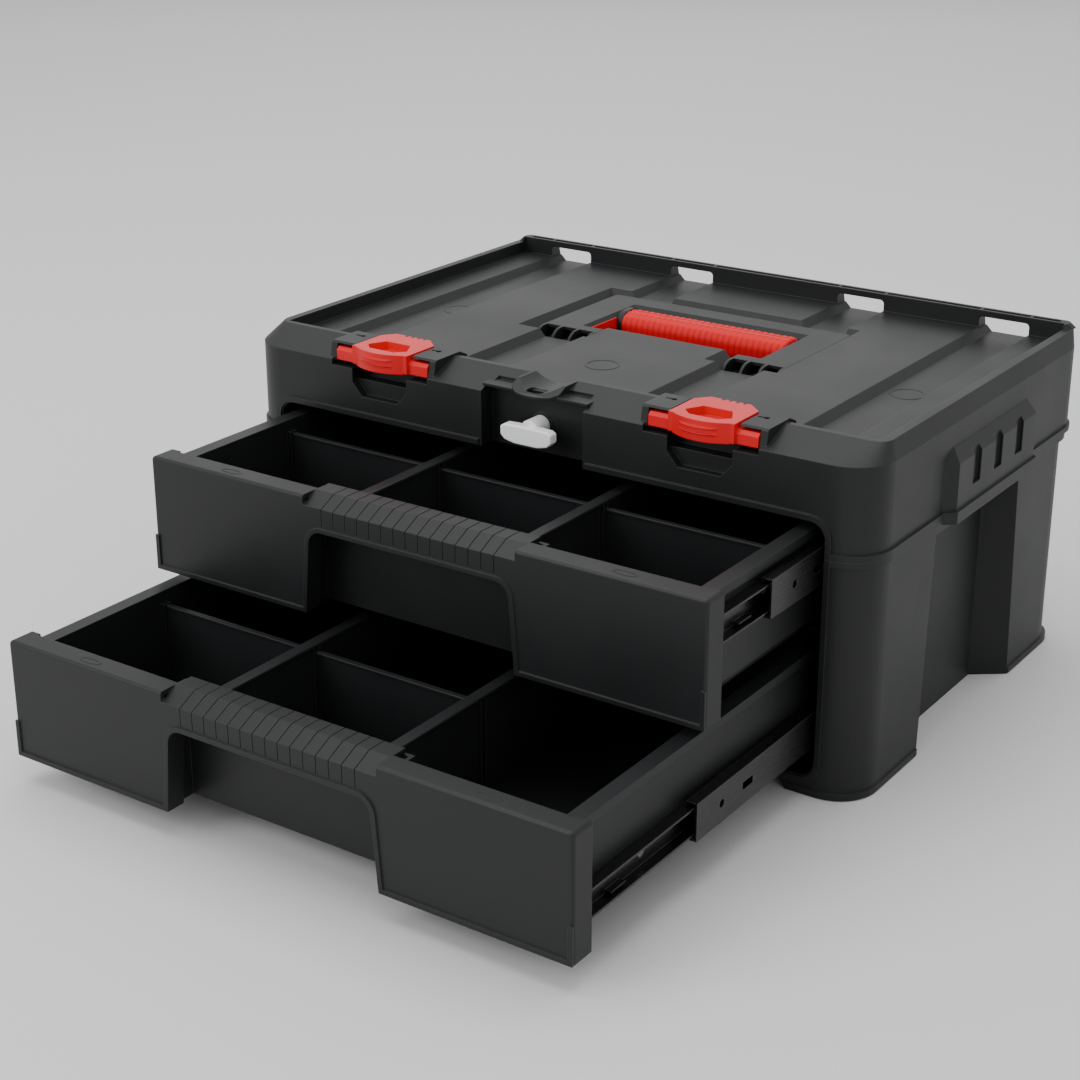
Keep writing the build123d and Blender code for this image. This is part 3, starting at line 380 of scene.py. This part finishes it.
# %% Row tree
def row_tree():
    """Copies of the input mesh, one after another along a step."""
    tree = bpy.data.node_groups.new("row of copies", "GeometryNodeTree")
    face = tree.interface
    face.new_socket("Geometry", in_out="INPUT", socket_type="NodeSocketGeometry")
    face.new_socket("Count", in_out="INPUT", socket_type="NodeSocketInt")
    face.new_socket("Step", in_out="INPUT", socket_type="NodeSocketVector")
    face.new_socket("Finish", in_out="INPUT", socket_type="NodeSocketMaterial")
    face.new_socket("Geometry", in_out="OUTPUT", socket_type="NodeSocketGeometry")
    given = tree.nodes.new("NodeGroupInput").outputs
    line = add(tree, "GeometryNodeMeshLine", {"mode": "OFFSET"},
               Count=given["Count"], Offset=given["Step"])
    copies = add(tree, "GeometryNodeInstanceOnPoints",
                 Points=line.outputs[0], Instance=given["Geometry"])
    real = add(tree, "GeometryNodeRealizeInstances", Geometry=copies.outputs[0])
    painted = add(tree, "GeometryNodeSetMaterial", Geometry=real.outputs[0], Material=given["Finish"])
    result = tree.nodes.new("NodeGroupOutput")
    tree.links.new(painted.outputs[0], result.inputs["Geometry"])
    return tree


ROW = row_tree()


# %% Make a row into a plain piece
def row_of(name, mesh, count, step, finish, body):
    """Copies of a mesh in a row, as one plain mesh that rides on a body."""
    if not mesh.materials:
        mesh.materials.append(finish)
    maker = bpy.data.objects.new(name + "_maker", mesh)
    bpy.context.scene.collection.objects.link(maker)
    modifier = maker.modifiers.new("row", "NODES")
    modifier.node_group = ROW
    sockets = {item.name: item.identifier for item in ROW.interface.items_tree if item.in_out == "INPUT"}
    modifier[sockets["Count"]] = count
    modifier[sockets["Step"]] = tuple(step)
    modifier[sockets["Finish"]] = finish
    evaluated = maker.evaluated_get(bpy.context.evaluated_depsgraph_get())
    plain = bpy.data.meshes.new_from_object(evaluated)
    maker.modifiers.remove(modifier)
    bpy.data.objects.remove(maker)
    piece = bpy.data.objects.new(name, plain)
    bpy.context.scene.collection.objects.link(piece)
    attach(piece, body)
    return piece

# %% [markdown]
# ## Small moulded marks
# The deck carries three shallow round marks, and each drawer's ledge two oval ones: they are
# where the mould's ejector pins pushed the part out. Each is a thin raised ring, turned from a
# small trapezium section.


# %% Turned rings
def new_mesh(name, vertices, faces, smooth=False):
    """Mesh with outward faces."""
    mesh = bpy.data.meshes.new(name)
    mesh.from_pydata(vertices, [], faces)
    shape = bmesh.new()
    shape.from_mesh(mesh)
    bmesh.ops.recalc_face_normals(shape, faces=shape.faces)
    shape.to_mesh(mesh)
    shape.free()
    for polygon in mesh.polygons:
        polygon.use_smooth = smooth
    return mesh


RING_SUNK = 0.15 * MM


def ring_mesh(name, centre, radius, stretch, wide, high, segments=72):
    """Raised ring round a point; stretch makes it oval along X."""
    section = [(-wide, -RING_SUNK), (wide, -RING_SUNK), (0.5 * wide, high), (-0.5 * wide, high)]
    vertices, faces = [], []
    for index in range(segments):
        angle = 2 * math.pi * index / segments
        for out, up in section:
            vertices.append((centre[0] + (radius + out) * stretch * math.cos(angle),
                             centre[1] + (radius + out) * math.sin(angle), centre[2] + up))
    for index in range(segments):
        for side in range(4):
            a, b = index * 4 + side, index * 4 + (side + 1) % 4
            c, d = (b + 4) % (4 * segments), (a + 4) % (4 * segments)
            faces.append((a, b, c, d))
    return new_mesh(name, vertices, faces)


def placed_piece(name, mesh, finish, body):
    """Object of a mesh that rides on a body."""
    mesh.materials.append(finish)
    piece = bpy.data.objects.new(name, mesh)
    bpy.context.scene.collection.objects.link(piece)
    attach(piece, body)
    return piece


# %% Marks on the deck and on the ledges
FRONT_Y = -166.0
DECK_Z = 219.0
CHANNEL_Z = 213.7
DECK_MARKS = ((-178.0, 162.0, CHANNEL_Z), (184.7, 162.0, CHANNEL_Z), (-4.5, 90.0, DECK_Z))
DECK_MARK_RADIUS = 11.0 * MM
LEDGE_MARKS = (-145.0, 150.0)
LEDGE_MARK_BACK = 8.5 * MM
LEDGE_MARK_RADIUS = 2.6 * MM
LEDGE_MARK_STRETCH = 3.0
for number, (x, back, z) in enumerate(DECK_MARKS):
    centre = Vector((x, FRONT_Y + back, z)) * MM
    mark = ring_mesh("deck_mark_mesh", centre, DECK_MARK_RADIUS, 1.0, 1.0 * MM, 0.25 * MM)
    placed_piece("deck_mark_%d" % number, mark, casing_plastic, "casing")
for level in ("lower", "upper"):
    low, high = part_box(level + "_drawer_front")
    for number, x in enumerate(LEDGE_MARKS):
        centre = Vector((x * MM, low[1] + LEDGE_MARK_BACK, high[2]))
        mark = ring_mesh(
            "ledge_mark_mesh", centre, LEDGE_MARK_RADIUS, LEDGE_MARK_STRETCH, 0.4 * MM, 0.25 * MM)
        placed_piece("%s_ledge_mark_%d" % (level, number), mark,
                     drawer_plastic, level + "_drawer")
print("marks made")

# %% [markdown]
# ## Collar and lining of the handle
# A dark collar closes the left end of the red sleeve, and the same red covers the left wall
# of the handle's window, where fingers slide in.

# %% Collar and lining
COLLAR_LONG = 4.0 * MM
COLLAR_OUT = 0.5 * MM
COLLAR_THICK = 3.0 * MM


def collar_mesh():
    """Ring round the sleeve's left end, following its section."""
    half_y = (GRIP_HIGH[1] - GRIP_LOW[1]) / 2 + COLLAR_OUT
    half_z = (GRIP_HIGH[2] - GRIP_LOW[2]) / 2 + COLLAR_OUT
    middle = (Vector(GRIP_LOW) + Vector(GRIP_HIGH)) / 2
    section = rounded_section(half_y, half_z, GRIP_CORNER + COLLAR_OUT, 1.5 * MM)
    x0, x1 = GRIP_LOW[0] - 0.3 * MM, GRIP_LOW[0] + COLLAR_LONG
    vertices, faces = [], []
    for place, out, _ in section:
        for x, sink in ((x0, 0.0), (x1, 0.0), (x1, COLLAR_THICK), (x0, COLLAR_THICK)):
            vertices.append((x, middle.y + place.x - out.x * sink, middle.z + place.y - out.y * sink))
    ring = len(section)
    for index in range(ring):
        for side in range(4):
            a, b = index * 4 + side, index * 4 + (side + 1) % 4
            c, d = (b + 4) % (4 * ring), (a + 4) % (4 * ring)
            faces.append((a, b, c, d))
    return new_mesh("collar_mesh", vertices, faces, smooth=False)


placed_piece("grip_collar", collar_mesh(), casing_plastic, "handle")


def box_mesh(name, low, high):
    """Block between two corners, its edges slightly rounded."""
    shape = bmesh.new()
    bmesh.ops.create_cube(shape, size=1.0)
    size = Vector(high) - Vector(low)
    middle = (Vector(high) + Vector(low)) / 2
    for vertex in shape.verts:
        vertex.co = Vector(a * b for a, b in zip(vertex.co, size)) + middle
    bmesh.ops.bevel(shape, geom=list(shape.edges), offset=min(size) * 0.2,
                    segments=2, affect="EDGES", profile=0.6)
    mesh = bpy.data.meshes.new(name)
    shape.to_mesh(mesh)
    shape.free()
    return mesh


LINING_LOW = Vector((-67.3, FRONT_Y + 169.6, 203.0)) * MM
LINING_HIGH = Vector((-66.2, FRONT_Y + 204.0, 216.0)) * MM
lining_mesh = box_mesh("lining_mesh", LINING_LOW, LINING_HIGH)
placed_piece("window_lining", lining_mesh, grip_red, "handle")

# %% [markdown]
# ## Fine ribs on the latches
# The bulging lip of each latch has two thin ribs for the finger. One rib is bent to the lip's
# curve and the row tree copies it downwards.

# %% Ribs on the latch lips
RIB_HALF = 11.5 * MM
RIB_STEPS = 16
LATCH_BULGE = 6.0 * MM
LATCH_CHORD = 20.0 * MM
RIB_DROP = 4.2 * MM
RIB_STEP = 3.6 * MM
RIB_COUNT = 2


def rib_mesh(name, x_mid, y_front, z):
    """Thin bent rib that follows the lip's arc."""
    radius = (LATCH_CHORD ** 2 + LATCH_BULGE ** 2) / (2 * LATCH_BULGE)
    vertices, faces = [], []
    for index in range(RIB_STEPS + 1):
        x = RIB_HALF * (2 * index / RIB_STEPS - 1)
        y = y_front + radius - math.sqrt(radius ** 2 - x ** 2)
        fade = 1.0 - (abs(x) / RIB_HALF) ** 6
        for out, up in ((0.3, -0.55), (-0.75 * fade, -0.25), (-0.75 * fade, 0.25), (0.3, 0.55)):
            vertices.append((x_mid + x, y + out * MM, z + up * MM))
    for index in range(RIB_STEPS):
        for side in range(4):
            a, b = index * 4 + side, index * 4 + (side + 1) % 4
            faces.append((a, b, b + 4, a + 4))
    last = RIB_STEPS * 4
    faces += [(0, 1, 2, 3), (last + 3, last + 2, last + 1, last)]
    return new_mesh(name, vertices, faces)


for name in ("latch_left", "latch_right"):
    low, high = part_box(name)
    rib = rib_mesh(name + "_rib_mesh", (low[0] + high[0]) / 2, low[1], high[2] - RIB_DROP)
    row_of(name + "_ribs", rib, RIB_COUNT, (0, 0, -RIB_STEP), latch_red, name)
print("ribs made")

# %% [markdown]
# ## Floor and light
# A product photograph like this one is lit softly from everywhere: a large soft box overhead,
# a second one in front so that the red shows its colour, and weak ones behind and to the right.
# The one behind is kept weak, because the deck mirrors it towards the camera. The floor is a
# pale sheet.

# %% Floor
floor_mesh = bpy.data.meshes.new("floor")
FLOOR_HALF = 6.0
floor_corners = [(x * FLOOR_HALF, y * FLOOR_HALF, 0) for x, y in ((-1, -1), (1, -1), (1, 1), (-1, 1))]
floor_mesh.from_pydata(floor_corners, [], [(0, 1, 2, 3)])
floor = bpy.data.objects.new("floor", floor_mesh)
bpy.context.scene.collection.objects.link(floor)
floor_material, floor_tree, floor_output = new_material("pale paper sheet")
finish_material(floor_tree, floor_output, add(
    floor_tree, "ShaderNodeBsdfPrincipled", Base_Color=linear("#d6d6d6"), Roughness=0.9))
floor_mesh.materials.append(floor_material)


# %% Lights
def soft_box(name, place, aim, size, power):
    """A square area light that looks at a point."""
    light = bpy.data.lights.new(name, "AREA")
    light.size = size
    light.energy = power
    lamp = bpy.data.objects.new(name, light)
    lamp.location = Vector(place)
    lamp.rotation_euler = (Vector(aim) - Vector(place)).to_track_quat("-Z", "Y").to_euler()
    bpy.context.scene.collection.objects.link(lamp)
    return lamp


soft_box("overhead", (-0.3, 0.0, 2.6), (0, 0, 0.1), 2.6, 45)
soft_box("behind", (-1.7, 2.6, 1.5), (0, 0, 0.2), 2.0, 6)
soft_box("front_left", (-1.2, -2.4, 1.5), (0, -0.1, 0.1), 1.6, 30)
soft_box("right_strip", (2.4, -1.6, 0.9), (0.2, -0.1, 0.1), 0.5, 2)

world = bpy.data.worlds.new("studio")
world.use_nodes = True
world.node_tree.nodes["Background"].inputs["Color"].default_value = linear("#ffffff")
world.node_tree.nodes["Background"].inputs["Strength"].default_value = 0.9
bpy.context.scene.world = world
